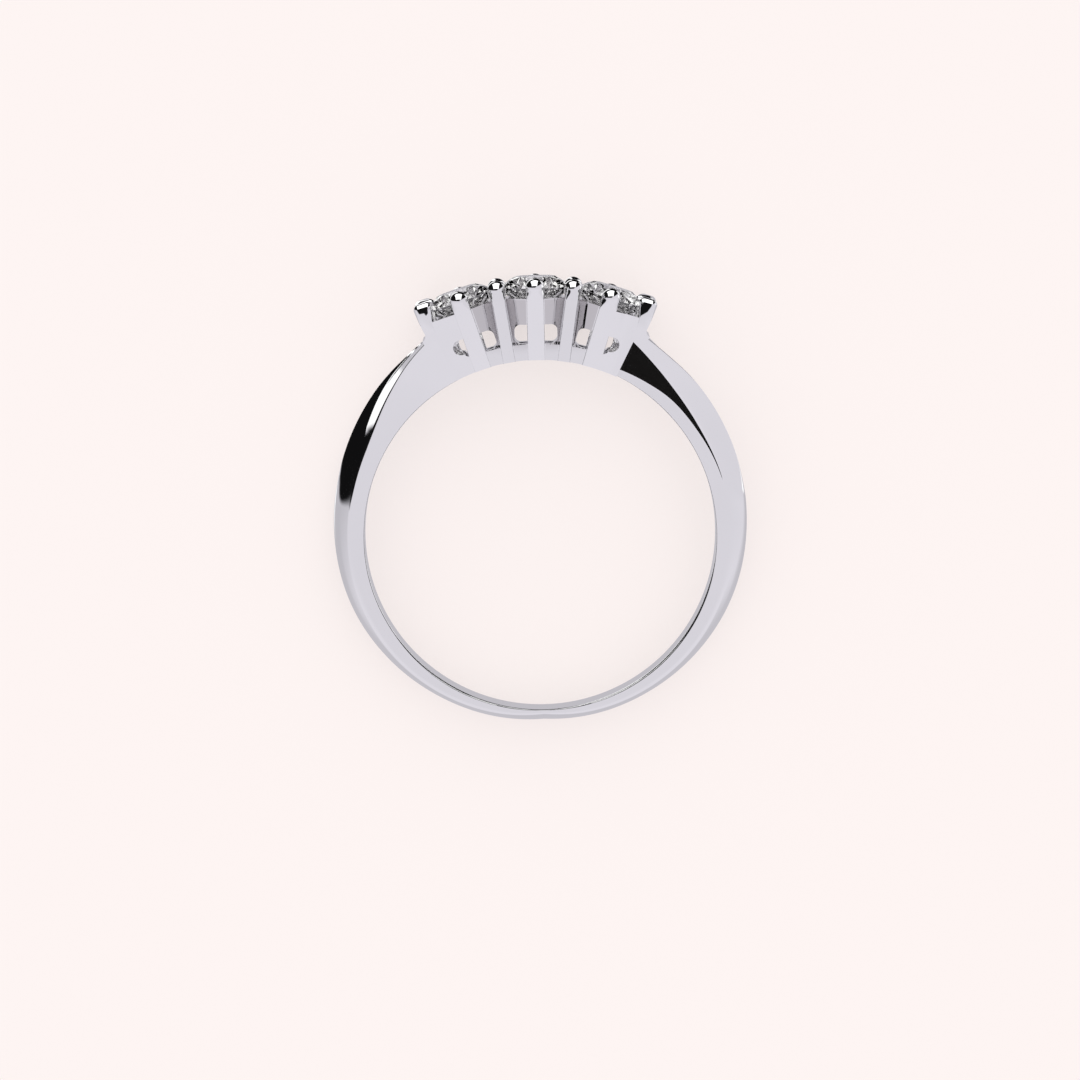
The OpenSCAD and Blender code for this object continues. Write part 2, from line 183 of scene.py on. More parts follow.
def smooth(x, lo, hi):
    """Rises from 0 at lo to 1 at hi."""
    t = min(max((x - lo) / (hi - lo), 0.0), 1.0)
    return t * t * (3 - 2 * t)


def corner(back, here, on, cut, n):
    """A rounded corner of n points, cut back from here towards both neighbours."""
    back, here, on = map(np.asarray, (back, here, on))
    a = here + (back - here) * min(0.45, cut / max(np.linalg.norm(back - here), 1e-9))
    b = here + (on - here) * min(0.45, cut / max(np.linalg.norm(on - here), 1e-9))
    return [
        a * (1 - t) ** 2 + here * 2 * t * (1 - t) + b * t**2 for t in np.linspace(0, 1, n)
    ]


def between(a, b, n):
    """The n points that divide the line from a to b, without its ends."""
    return [a + (b - a) * t for t in np.linspace(0, 1, n + 2)[1:-1]]


def section(x, low=0.0, slim=1.0, top_cut=0.0):
    """Closed outline of the shank's section: height above the hole, and place along the finger."""
    _, side, top, flat_s, near_s, far_s, dip_s, foot_s, turn, wide = shares(x)
    t = BOTTOM_T + (SIDE_T - BOTTOM_T) * side + (SHOULDER_T - SIDE_T) * top
    half = (SHANK_W + (FOOT_W - SHANK_W) * wide) / 2 - SKIN * wide
    lean = WALL_LEAN * wide
    flat = FLAT_H * flat_s
    near = flat + (t - flat) * near_s
    far = flat + (t - flat) * far_s
    foot = flat * (0.4 + (foot_s - 0.4) * smooth(x, 0.62, 0.70))
    dip = HOLLOW_D * dip_s
    ridge = -(half + lean * t) * turn
    p_front = np.array([0.0, half])
    p_mid = np.array([foot, half + lean * foot])
    p_near = np.array([near, half + lean * near])
    p_ridge = np.array([t, ridge])
    p_far = np.array([far, -half - lean * far])
    # Half way along the ridge's rounding
    p_ridge = corner(p_near, p_ridge, p_far, EDGE_R, 3)[1]
    p_foot = np.array([foot, -half - lean * foot + dip])
    p_low = np.array([-PAST / 2, -half + dip])
    p_back = p_low + (p_foot - p_low) * (PAST / 2) / (PAST / 2 + foot)
    crisp = smooth(x, 0.72, 1.0)
    edge = 0.16 * (1 - crisp) + 0.05 * crisp
    inner = 0.12 - 0.07 * smooth(x, 0.48, 0.62) - 0.03 * smooth(x, 0.88, 1.0)

    # The outer band: a domed curve that turns into flat faces, the near one with a slight knee
    flatter = smooth(x, 0.64, 0.73)
    rounding = corner(p_near, p_ridge, p_far, 0.05 + 0.2 * (1 - flatter), 9)
    rise = np.interp(x, KNEE_AT, KNEE_RISE)
    knee_h = p_near[0] + (p_ridge[0] - p_near[0]) * rise
    knee_z = min(
        p_ridge[1] + (p_ridge[0] - knee_h) / KNEE_SLOPE,
        p_near[1] - 0.15 * (p_near[1] - p_ridge[1]),
    )
    knee = corner(p_near, (knee_h, knee_z), p_ridge, 0.1, 5)
    bent = [p_near] + between(p_near, knee[0], 3) + knee + between(knee[-1], rounding[0], 2)
    straight = [p_near] + between(p_near, rounding[0], 10)
    share = smooth(x, 0.75, 0.80)
    plain = (
        [p * (1 - share) + q * share for p, q in zip(straight, bent)]
        + rounding
        + between(rounding[-1], p_far, 10)
        + [p_far]
    )
    ways = np.concatenate([
        np.linspace(0, 0.42, 12)[:-1],
        np.linspace(0.42, 0.58, 9),
        np.linspace(0.58, 1, 12)[1:],
    ])
    control = 2 * p_ridge - (p_near + p_far) / 2
    dome = [
        p_near * (1 - u) ** 2 + control * 2 * u * (1 - u) + p_far * u**2 for u in ways
    ]
    outer = [d * (1 - flatter) + p * flatter for d, p in zip(dome, plain)]

    first = corner(p_mid, outer[0], outer[4], edge, 7)
    last = corner(outer[-5], outer[-1], p_foot, edge, 7)
    front = corner(p_back, p_front, p_mid, inner, 6)
    level = corner(p_front, p_mid, p_near, 0.06, 5)
    hollow = corner(p_far, p_foot, p_back, 0.06, 5)
    back = corner(p_foot, p_back, p_front, inner, 6)
    pts = (
        front
        + between(front[-1], level[0], 4)
        + level
        + between(level[-1], first[0], 4)
        + first
        + outer[4:-4]
        + last
        + between(last[-1], hollow[0], 4)
        + hollow
        + between(hollow[-1], back[0], 4)
        + back
        + between(back[-1], front[0], LAST_RUN)
    )
    pts = np.array(pts)
    pts[:, 0] = np.clip(pts[:, 0], low, t - top_cut)
    pts[:, 1] *= slim
    return pts


def shank_ring(a, **how):
    """The section at an angle from the bottom: left above 0, and right the left one turned."""
    pts = section(min(abs(a) / SHANK_END, 1.0), **how)
    if a < 0:
        pts = pts[::-1] * np.array([1, -1])
        pts = np.roll(pts, -LAST_RUN, axis=0)
    r = FINGER_R + pts[:, 0]
    return np.stack([-r * np.sin(a), -r * np.cos(a), pts[:, 1]], axis=1)


# Mesh helpers, all in mm


def mesh_object(name, verts, faces):
    """A closed mesh with its faces outwards."""
    verts = np.asarray(verts, float)
    me = bpy.data.meshes.new(name)
    me.from_pydata([tuple(v) for v in verts], [], [tuple(int(i) for i in f) for f in faces])
    me.update()
    obj = bpy.data.objects.new(name, me)
    scene.collection.objects.link(obj)
    bm = bmesh.new()
    bm.from_mesh(me)
    if bm.calc_volume(signed=True) < 0:
        bmesh.ops.reverse_faces(bm, faces=bm.faces)
    bm.to_mesh(me)
    bm.free()
    return obj


def loft(name, rings):
    """A solid through closed rings of equally many points."""
    rings = np.asarray(rings, float)
    m, n = rings.shape[:2]
    faces = [
        (k * n + i, (k + 1) * n + i, (k + 1) * n + (i + 1) % n, k * n + (i + 1) % n)
        for k in range(m - 1)
        for i in range(n)
    ]
    faces.append(tuple(range(n)))
    faces.append(tuple((m - 1) * n + i for i in range(n - 1, -1, -1)))
    return mesh_object(name, rings.reshape(-1, 3), faces)


def extrude(name, outline, z0, z1):
    """An outline in the front view, between two places along the finger."""
    return loft(name, [[(x, y, z) for x, y in outline] for z in (z0, z1)])


def revolve(name, profile, n, axis):
    """A closed profile of radius and height, round the ring's own axis or a stone's."""
    profile = np.asarray(profile, float)
    turns = np.arange(n) * 2 * math.pi / n
    rings = []
    for a in turns:
        r, h = profile[:, 0], profile[:, 1]
        if axis == "Z":
            rings.append(np.stack([r * math.sin(a), r * math.cos(a), h], axis=1))
        else:
            rings.append(np.stack([r * math.cos(a), h, r * math.sin(a)], axis=1))
    m = len(profile)
    verts = np.concatenate(rings)
    faces = [
        (k * m + i, ((k + 1) % n) * m + i, ((k + 1) % n) * m + (i + 1) % m, k * m + (i + 1) % m)
        for k in range(n)
        for i in range(m)
        if profile[i, 0] > 0 or profile[(i + 1) % m, 0] > 0
    ]
    obj = mesh_object(name, verts, faces)
    bm = bmesh.new()
    bm.from_mesh(obj.data)
    bmesh.ops.remove_doubles(bm, verts=bm.verts, dist=1e-6)
    bmesh.ops.dissolve_degenerate(bm, edges=bm.edges, dist=1e-6)
    if bm.calc_volume(signed=True) < 0:
        bmesh.ops.reverse_faces(bm, faces=bm.faces)
    bm.to_mesh(obj.data)
    bm.free()
    return obj


def hull(name, points):
    """The smallest convex solid round the points."""
    bm = bmesh.new()
    for p in points:
        bm.verts.new(p)
    out = bmesh.ops.convex_hull(bm, input=bm.verts)
    bmesh.ops.delete(
        bm,
        geom=[g for g in out["geom_interior"] if isinstance(g, bmesh.types.BMVert)],
        context="VERTS",
    )
    me = bpy.data.meshes.new(name)
    bm.to_mesh(me)
    bm.free()
    obj = bpy.data.objects.new(name, me)
    scene.collection.objects.link(obj)
    return obj


def ball(mid, r, n=28):
    """Points of a ball."""
    out = []
    for i in range(1, n):
        b = math.pi * i / n
        for j in range(2 * n):
            a = math.pi * j / n
            out.append((
                mid[0] + r * math.sin(b) * math.cos(a),
                mid[1] + r * math.cos(b),
                mid[2] + r * math.sin(b) * math.sin(a),
            ))
    out += [(mid[0], mid[1] + r, mid[2]), (mid[0], mid[1] - r, mid[2])]
    return out


def turn(obj, k, back=False):
    """Moves a piece from the middle stone's place to another's, or to the back of it."""
    m = Matrix.Rotation(-k * PITCH, 4, "Z")
    if back:
        m = m @ Matrix.Rotation(math.pi, 4, "Y")
    obj.data.transform(m)
    return obj


def boolean(a, b, op):
    """Joins b to a or cuts it from a, and removes b."""
    mod = a.modifiers.new("cut", "BOOLEAN")
    mod.operation = op
    mod.object = b
    mod.solver = "MANIFOLD"
    dg = bpy.context.evaluated_depsgraph_get()
    me = bpy.data.meshes.new_from_object(a.evaluated_get(dg))
    a.modifiers.clear()
    old = a.data
    a.data = me
    bpy.data.meshes.remove(old)
    gone = b.data
    bpy.data.objects.remove(b)
    bpy.data.meshes.remove(gone)
    if len(a.data.polygons) == 0:
        raise RuntimeError(f"the boolean with {op} left nothing of {a.name}")
    return a


def arc(mid, r, start, end, n):
    """Points of an arc between two angles in degrees."""
    return [
        (mid[0] + r * math.cos(t), mid[1] + r * math.sin(t))
        for t in np.radians(np.linspace(start, end, n + 1))
    ]


def polar(r, a):
    """A place in the front view at an angle from the head's middle."""
    return np.array([r * math.sin(a), r * math.cos(a)])


def by_end_stone(x, y):
    """A place in the front view, from beside and along an end stone's axis."""
    return np.array([
        x * math.cos(PITCH) + y * math.sin(PITCH),
        y * math.cos(PITCH) - x * math.sin(PITCH),
    ])


# The metal


def shank():
    step = math.radians(0.75)
    n = math.ceil(SHANK_END / step)
    near_in = SHANK_END + math.radians(0.25)
    far_in = SHANK_END + math.radians(2.5)
    # Inside the head the shank runs on lower and slimmer than the head's walls
    inner = dict(low=0.12, slim=0.86, top_cut=0.3)
    angles = [SHANK_END * k / n for k in range(n, -n - 1, -1)]
    rings = [shank_ring(far_in, **inner), shank_ring(near_in + 0.002, **inner)]
    rings += [shank_ring(near_in)] + [shank_ring(a) for a in angles] + [shank_ring(-near_in)]
    rings += [shank_ring(-near_in - 0.002, **inner), shank_ring(-far_in, **inner)]
    return loft("ring_metal", rings)


def wall_z(r):
    """Half the distance between the gallery's leaning walls at a radius."""
    return FOOT_W / 2 + WALL_LEAN * (r - FINGER_R)


def between_walls():
    r0, r1 = FINGER_R - PAST, CLAW_R + PAST
    return revolve(
        "walls",
        [(0.5, -wall_z(r0)), (r0, -wall_z(r0)), (r1, -wall_z(r1)),
         (r1, wall_z(r1)), (r0, wall_z(r0)), (0.5, wall_z(r0))],
        360,
        "Z",
    )


def notch_points(n):
    """The rounded notch where the shoulder meets the end wall."""
    up = polar(1, PRONG_A)
    out = np.array([up[1], -up[0]])
    foot_r = FINGER_R + SHOULDER_T - 0.01
    mid = (foot_r + NOTCH_R) * up + NOTCH_R * out
    pts = [(foot_r - NOTCH_R) * up + NOTCH_R * out]
    for t in np.linspace(0, math.pi / 2, n + 1):
        pts.append(mid - NOTCH_R * (math.cos(t) * up + math.sin(t) * out))
    return pts


def end_x(y):
    """Outer face of the end prongs, beside an end stone's axis."""
    low = (FINGER_R + SHOULDER_T + NOTCH_R) * math.cos(PRONG_A - PITCH)
    low_x = (FINGER_R + SHOULDER_T + NOTCH_R) * math.sin(PRONG_A - PITCH)
    return low_x + (END_OUT - low_x) * (y - low) / (CLAW_FOOT - low)


def end_wall_solid(side):
    """The wall from an end stone out to its end prongs."""
    outline = [by_end_stone(0, FINGER_R - PAST), polar(FINGER_R - PAST, GALLERY_A),
               polar(FINGER_R + SHOULDER_T - NOTCH_R, GALLERY_A)]
    outline += notch_points(16)
    outline += [by_end_stone(end_x(RIM_R), RIM_R), by_end_stone(0, RIM_R)]
    pts = [(side * p[0], p[1]) for p in outline]
    wall = extrude("end_wall", pts, -THROUGH, THROUGH)
    return boolean(wall, between_walls(), "INTERSECT")


def end_prong(side, face):
    """One of the two prongs at the end of the row, up to its claw."""
    z_in = PAIR_GAP / 2
    x_in = END_OUT - END_W - 0.1
    c = PRONG_EDGE
    pts = []
    for y in (RIM_R - 0.5, RIM_R + 0.1):
        z_out = wall_z(math.hypot(y, end_x(y))) - SKIN
        for x, mx in ((end_x(y), c), (x_in, -c)):
            for z, mz in ((z_out, c), (z_in, -c)):
                pts += [(x, y, z - mz), (x - mx, y, z)]
    mid_z = (PAIR_GAP + 2 * CLAW_ROUND) / 2
    mid = (END_OUT - CLAW_ROUND, CLAW_FOOT, mid_z)
    away = math.hypot(mid[0], mid[2])
    inward = 1 - END_TIP_BACK / away
    tip = (mid[0] * inward, CLAW_R - 0.32, mid[2] * inward)
    pts += ball(mid, CLAW_ROUND) + ball(tip, END_TIP_R)
    # The claw's front carries on flush with the wall's before it rounds off
    r = END_CLAW_EDGE
    for x in (END_OUT - r, END_OUT - 2 * CLAW_ROUND + r):
        pts += ball((x, CLAW_R - r, END_CLAW_FRONT - r), r, 20)
    obj = hull("end_prong", [(side * x, y, face * z) for x, y, z in pts])
    return turn(obj, side)


def prong(width, foot, across, inner, claw=CLAW_ROUND):
    """A front prong, its face rounding off into the claw that bends over the stones."""
    top = CLAW_R - claw
    lean = (across - foot) / 2 / (top - FINGER_R)
    heights = np.concatenate([
        np.linspace(FINGER_R - PAST, top - CLAW_START, 5)[:-1],
        np.linspace(top - CLAW_START, top, 17),
    ])
    rings = []
    for y in heights:
        up = smooth(y, top - CLAW_START, top)
        half = width / 2 + (claw - width / 2) * up
        c = PRONG_ROUND + (claw - PRONG_ROUND) * up**1.5
        z_out = foot / 2 + lean * (y - FINGER_R)
        if y < RIM_R - LEAN_START:
            way = (y - (FINGER_R - PAST)) / (RIM_R - LEAN_START - FINGER_R + PAST)
            z_in = foot / 2 - SHARED_W + (inner - foot / 2 + SHARED_W) * way
        else:
            way = min((y - RIM_R + LEAN_START) / (GIRDLE_R - RIM_R + LEAN_START), 1)
            z_in = inner + (across / 2 - CLAW_REACH - inner) * way
        z_in = min(z_in, z_out - 2 * claw if up == 1 else z_out - 0.5)
        ring = []
        for t in np.linspace(0, math.pi / 2, 10):
            ring.append((half - c + c * math.cos(t), y, z_out - c + c * math.sin(t)))
        for t in np.linspace(math.pi / 2, math.pi, 10):
            ring.append((-half + c + c * math.cos(t), y, z_out - c + c * math.sin(t)))
        ring += [(-half, y, z_in + PRONG_EDGE), (-half + PRONG_EDGE, y, z_in),
                 (half - PRONG_EDGE, y, z_in), (half, y, z_in + PRONG_EDGE)]
        rings.append(ring)
    body = loft("prong", rings)
    mid = (0, top, across / 2 - claw)
    reach = min(CLAW_REACH, across / 2)
    tip = (0, CLAW_R - 0.36, across / 2 - reach + TIP_R)
    return boolean(body, hull("claw", ball(mid, claw) + ball(tip, TIP_R)), "UNION")


def blend():
    """The soft run-out between an outer prong and the gallery's wall, above the drilled pocket."""
    lean = (PRONG_ACROSS - PRONG_FOOT) / 2 / (CLAW_FOOT - FINGER_R)
    start = PRONG_W / 2 - PRONG_ROUND
    rings = []
    for y in np.linspace(FINGER_R - PAST, RIM_R, 15):
        z_prong = PRONG_FOOT / 2 + lean * (y - FINGER_R)
        ring = [(PRONG_W / 2 - 0.2, y, 0.5), (PRONG_W / 2 - 0.2, y, z_prong - 0.06)]
        for t in np.linspace(0, 1, 16):
            x = start + BLEND_W * t
            z_wall = wall_z(math.hypot(x, y)) - 2 * SKIN
            z = z_wall + (z_prong - z_wall) * (1 + math.cos(math.pi * t)) / 2
            ring.append((x, y, z - 2 * SKIN))
        ring.append((start + BLEND_W, y, 0.5))
        rings.append(ring)
    return loft("blend", rings)


def blend_back():
    """The same run-out behind the left outer prong, since the head is the same half turned."""
    obj = blend()
    obj.data.transform(Matrix.Rotation(math.pi, 4, "Y"))
    return obj


def window_outline(left, right, low, high, c):
    """A rectangle with rounded corners."""
    pts = arc((right - c, high - c), c, 0, 90, 10)
    pts += arc((-left + c, high - c), c, 90, 180, 10)
    pts += arc((-left + c, low + c), c, 180, 270, 10)
    pts += arc((right - c, low + c), c, 270, 360, 10)
    return pts


def pocket_outline(side):
    """From the middle of an outer window to a half circle at its outer end."""
    r = POCKET_H / 2
    mid = WINDOW_MID + WINDOW_H / 2 - r
    pts = arc((WINDOW_W / 2 - r, mid), r, -90, 90, 32)
    pts += [(0.0, mid + r), (0.0, mid - r)]
    return [(side * x, y) for x, y in pts]


def stone_room():
    """The stone's own shape, round and larger by the gap that the stones keep."""
    star_r = TABLE_R + (STONE_R - TABLE_R) * 0.5
    facet = math.radians(22.5)
    crown_slope = CROWN_H / (STONE_R - TABLE_R)
    star_y = GIRDLE_T / 2 + CROWN_H - (star_r * math.cos(facet) - TABLE_R) * crown_slope
    low = -GIRDLE_T / 2 - PAVILION_H
    r, up = STONE_R + SEAT_GAP, SEAT_GAP / 2
    top = GIRDLE_T / 2 + CROWN_H + SEAT_GAP
    pts = [(0.0, low - SEAT_GAP), (r, -GIRDLE_T / 2 - up), (r, GIRDLE_T / 2 + up),
           (star_r + SEAT_GAP, star_y + up), (TABLE_R + SEAT_GAP, top), (0.0, top)]
    return revolve("room", [(x, GIRDLE_R + y) for x, y in pts], 128, "Y")


def head():
    """The gallery with its cups, windows and prongs."""
    half_a = (PITCH + GALLERY_A) / 2
    r0, r1 = FINGER_R - PAST, FINGER_R + RAIL_H
    rings = []
    for a in np.linspace(-half_a, half_a, 61):
        z = FOOT_W / 2 - SKIN
        rings.append([(r * math.sin(a), r * math.cos(a), s) for r, s in
                      ((r0, -z), (r1, -z), (r1, z), (r0, z))])
    body = loft("head", rings)
    for side in (-1, 1):
        boolean(body, end_wall_solid(side), "UNION")
    for k in (-1, 0, 1):
        top = RIM_W / 2 - 0.04
        low_y = FINGER_R - PAST
        cup = revolve("cup", [(0.0, low_y), (top - WALL_LEAN * (RIM_R - low_y), low_y),
                              (top, RIM_R), (0.0, RIM_R)], 128, "Y")
        boolean(body, turn(cup, k), "UNION")
    for k in (-0.5, 0.5):
        depth = SHARED_FOOT / 2 - SHARED_W
        w = SHARED_W / 2
        box = extrude("bridge", [(-w, FINGER_R - PAST), (w, FINGER_R - PAST),
                                 (w, RIM_R - LEAN_START), (-w, RIM_R - LEAN_START)],
                      -depth, depth)
        boolean(body, turn(box, k), "UNION")
    boolean(body, turn(blend(), 1), "UNION")
    boolean(body, turn(blend_back(), -1), "UNION")
    low, high = WINDOW_MID - WINDOW_H / 2, WINDOW_MID + WINDOW_H / 2
    half = WINDOW_W / 2
    for k in (-1, 0, 1):
        left = half - (POCKET_W if k < 0 else 0)
        right = half - (POCKET_W if k > 0 else 0)
        outline = window_outline(left, right, low, high, WINDOW_CORNER)
        hole = extrude("window", outline, -THROUGH, THROUGH)
        boolean(body, turn(hole, k), "DIFFERENCE")
    r = POCKET_H / 2
    deep = POCKET_WALL / 2 + r
    for k in (-1, 1):
        for face in (-1, 1):
            ends = (face * deep, face * THROUGH)
            pocket = extrude("pocket", pocket_outline(k), min(ends), max(ends))
            boolean(body, turn(pocket, k), "DIFFERENCE")
            mid = (k * (half - r), high - r, face * (deep + 0.02))
            boolean(body, turn(hull("pocket_end", ball(mid, r - SKIN)), k), "DIFFERENCE")
    own = (PRONG_W, PRONG_FOOT, PRONG_ACROSS, STONE_R - SEAT_GAP)
    shared = (SHARED_W, SHARED_FOOT, SHARED_ACROSS, PAIR_GAP / 2)
    for sizes, places in ((own, (-1, 0, 1)), (shared, (-0.5, 0.5))):
        for k in places:
            for back in (False, True):
                boolean(body, turn(prong(*sizes), k, back), "UNION")
    for side in (-1, 1):
        for face in (-1, 1):
            boolean(body, end_prong(side, face), "UNION")
    for k in (-1, 0, 1):
        boolean(body, turn(stone_room(), k), "DIFFERENCE")
        light = revolve("light", [(0.0, FINGER_R - PAST), (LIGHT_R, FINGER_R - PAST),
                                  (LIGHT_R, GIRDLE_R), (0.0, GIRDLE_R)], 96, "Y")
        boolean(body, turn(light, k), "DIFFERENCE")
    bore = revolve("bore", [(0.0, -THROUGH), (FINGER_R, -THROUGH), (FINGER_R, THROUGH),
                            (0.0, THROUGH)], 480, "Z")
    return boolean(body, bore, "DIFFERENCE")


metal = shank()
boolean(metal, head(), "UNION")
bm = bmesh.new()
bm.from_mesh(metal.data)
bmesh.ops.remove_doubles(bm, verts=bm.verts, dist=WELD)
bmesh.ops.dissolve_degenerate(bm, edges=bm.edges, dist=WELD)
bm.to_mesh(metal.data)
bm.free()
metal.data.transform(PLACE)
metal.name = "ring_metal"
metal.data.polygons.foreach_set("use_smooth", [True] * len(metal.data.polygons))
metal.data.set_sharp_from_angle(angle=SHARP)
weighted = metal.modifiers.new("weighted", "WEIGHTED_NORMAL")
weighted.keep_sharp = True
weighted.weight = 80


# Materials


def node_material(name):
    mat = bpy.data.materials.new(name)
    mat.use_nodes = True
    nt = mat.node_tree
    nt.nodes.clear()
    return mat, nt.nodes, nt.links


def math_tools(nodes, links):
    """Short ways to add nodes that work with numbers."""

    def fill(node, sockets):
        for i, v in sockets:
            if isinstance(v, (int, float)):
                node.inputs[i].default_value = v
            elif v is not None:
                links.new(v, node.inputs[i])

    def math_node(op, a, b=None):
        n = nodes.new("ShaderNodeMath")
        n.operation = op
        fill(n, ((0, a), (1, b)))
        return n.outputs[0]

    def ramp(value, lo, hi):
        n = nodes.new("ShaderNodeMapRange")
        n.interpolation_type = "SMOOTHSTEP"
        n.inputs["From Min"].default_value = lo
        n.inputs["From Max"].default_value = hi
        links.new(value, n.inputs["Value"])
        return n.outputs["Result"]

    def mix(fac, a, b):
        n = nodes.new("ShaderNodeMix")
        n.data_type = "FLOAT"
        fill(n, ((0, fac), (2, a), (3, b)))
        return n.outputs[0]

    def ring_axes(vector):
        """Splits a vector into the upright ring's own X, Y and Z."""
        turned = nodes.new("ShaderNodeVectorRotate")
        turned.rotation_type = "X_AXIS"
        turned.inputs["Angle"].default_value = -REST_TILT
        links.new(vector, turned.inputs["Vector"])
        axes = nodes.new("ShaderNodeSeparateXYZ")
        links.new(turned.outputs["Vector"], axes.inputs[0])
        return axes.outputs[0], axes.outputs[1], axes.outputs[2]

    def product(*values):
        total = values[0]
        for value in values[1:]:
            total = math_node("MULTIPLY", total, value)
        return total

    def minus(a, b):
        return math_node("SUBTRACT", a, b)

    return math_node, product, minus, ramp, mix, ring_axes


def white_gold():
    mat, nodes, links = node_material("white_gold")
    out = nodes.new("ShaderNodeOutputMaterial")
    shader = nodes.new("ShaderNodeBsdfPrincipled")
    shader.inputs["Metallic"].default_value = 1.0
    where = nodes.new("ShaderNodeTexCoord")
    cloudy = nodes.new("ShaderNodeTexNoise")
    cloudy.inputs["Scale"].default_value = 300
    cloudy.inputs["Detail"].default_value = 3
    fine = nodes.new("ShaderNodeTexNoise")
    fine.inputs["Scale"].default_value = 9000
    fine.inputs["Detail"].default_value = 4
    tint = nodes.new("ShaderNodeValToRGB")
    tint.color_ramp.elements[0].position = 0.35
    tint.color_ramp.elements[0].color = (0.925, 0.925, 0.93, 1)
    tint.color_ramp.elements[1].position = 0.65
    tint.color_ramp.elements[1].color = (0.94, 0.94, 0.945, 1)
    rough = nodes.new("ShaderNodeMapRange")
    rough.inputs["To Min"].default_value = 0.02
    rough.inputs["To Max"].default_value = 0.06
    bump = nodes.new("ShaderNodeBump")
    bump.inputs["Strength"].default_value = 0.2
    bump.inputs["Distance"].default_value = 0.000001
    links.new(where.outputs["Object"], cloudy.inputs["Vector"])
    links.new(where.outputs["Object"], fine.inputs["Vector"])
    links.new(cloudy.outputs["Fac"], tint.inputs["Fac"])

    # Painted shade: between the prongs, in the recessed cups, the metal's colour is made darker to
    # stand in for the shade that falls there
    math_node, product, minus, ramp, _, ring_axes = math_tools(nodes, links)
    from_mid = nodes.new("ShaderNodeVectorMath")
    from_mid.operation = "SUBTRACT"
    from_mid.inputs[1].default_value = (0, REST_Y / 1000, REST_Z / 1000)
    links.new(where.outputs["Object"], from_mid.inputs[0])
    x, y, _ = ring_axes(from_mid.outputs["Vector"])
    around = math_node("ABSOLUTE", math_node("ARCTAN2", x, y))
    # Mask of the painted shade: the cups below the rim, clear of the prongs' faces
    deep = product(
        ramp(around, PITCH, PITCH - 0.02),
        ramp(y, (FINGER_R + 0.2) / 1000, (FINGER_R + 1.2) / 1000),
        ramp(y, (RIM_R + 0.05) / 1000, (RIM_R - 0.1) / 1000),
    )
    for k, width in ((-1, PRONG_W), (-0.5, SHARED_W), (0, PRONG_W), (0.5, SHARED_W), (1, PRONG_W)):
        across = minus(product(x, math.cos(k * PITCH)), product(y, math.sin(k * PITCH)))
        beside = math_node("ABSOLUTE", across)
        deep = product(deep, ramp(beside, (width / 2 + 0.01) / 1000, (width / 2 + 0.05) / 1000))
    # The darker colour that paints shade into these recesses
    painted_recess_shade = nodes.new("ShaderNodeMix")
    painted_recess_shade.data_type = "RGBA"
    painted_recess_shade.inputs[7].default_value = (0.68, 0.665, 0.67, 1)
    links.new(deep, painted_recess_shade.inputs[0])
    links.new(tint.outputs["Color"], painted_recess_shade.inputs[6])
    links.new(painted_recess_shade.outputs[2], shader.inputs["Base Color"])
    links.new(fine.outputs["Fac"], rough.inputs["Value"])
    links.new(rough.outputs["Result"], shader.inputs["Roughness"])
    links.new(fine.outputs["Fac"], bump.inputs["Height"])
    links.new(bump.outputs["Normal"], shader.inputs["Normal"])
    links.new(shader.outputs["BSDF"], out.inputs["Surface"])
    return mat


def clear_stone():
    mat, nodes, links = node_material("clear_stone")
    out = nodes.new("ShaderNodeOutputMaterial")
    shader = nodes.new("ShaderNodeBsdfPrincipled")
    shader.inputs["IOR"].default_value = 2.417
    shader.inputs["Transmission Weight"].default_value = 1.0
    shader.inputs["Roughness"].default_value = 0.0
    where = nodes.new("ShaderNodeTexCoord")
    cloudy = nodes.new("ShaderNodeTexNoise")
    cloudy.inputs["Scale"].default_value = 900
    tint = nodes.new("ShaderNodeValToRGB")
    tint.color_ramp.elements[0].color = (0.97, 0.955, 0.93, 1)
    tint.color_ramp.elements[1].color = (0.985, 0.985, 0.99, 1)
    links.new(where.outputs["Object"], cloudy.inputs["Vector"])
    links.new(cloudy.outputs["Fac"], tint.inputs["Fac"])
    links.new(tint.outputs["Color"], shader.inputs["Base Color"])
    links.new(shader.outputs["BSDF"], out.inputs["Surface"])
    return mat


metal.data.materials.clear()
metal.data.materials.append(white_gold())
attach(metal, "root")
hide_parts("ring_mount")

stone_look = clear_stone()
for name in ("centre_stone", "left_stone", "right_stone"):
    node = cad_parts[name]
    node.data.materials.clear()
    node.data.materials.append(stone_look)

# Floor, studio and camera

PALE = (0.982, 0.905, 0.887, 1)
TENT_COLOR = (0.715, 0.694, 0.746, 1)
WHITE = (1, 1, 1, 1)
TENT_LOW_GAIN = 0.07
TENT_BACK_LEVEL = 0.75
WALL_LEVEL = 1.15
SOFTBOX = 1.6
DARK_LEVEL = 0.01
STONE_SOFT = 0.3
LIGHT_BOUNCES = 32
MIRROR_BOUNCES = 9

# Zones of the studio, by the direction that light comes from in the upright ring's own axes: X to
# the right, Y up and Z to the front. Each pair is where a zone begins and where it is full.
TENT_LOW = (-0.08, -0.5)
TENT_BACK = (0.2, -0.5)
# The softbox overhead, by its angle up from the front and its distance to the side
BOX_FRONT = (0.39, 0.45)
BOX_BACK = (1.85, 1.78)
BOX_MID = -0.075
BOX_SIDE = (0.55, 0.50)
# The white wall behind, which slants down to the left and leaves a gap in the middle
WALL_SLANT = 0.5
WALL_SLANT_UP = 1.2
WALL_BACK = (-0.48, -0.55)
WALL_UP = (0.2, 0.25)
WALL_GAP_MID = 0.2
WALL_GAP = (0.28, 0.36)
# The card and the white strip on the right
CARD_SIDE = (0.2, 0.3)
CARD_TOP = (0.36, 0.28)
STRIP_SIDE = (0.84, 0.9)
STRIP_BACK = (0.0, -0.1)
STRIP_LOW = (-0.06, 0.0)
# The dark zone above, whose edge runs lower behind and higher on the right
DARK_BACK_SLANT = 0.12
DARK_RIGHT_SLANT = 0.5
DARK_UP = (0.02, 0.06)
DARK_BACK = (-0.97, -0.94)


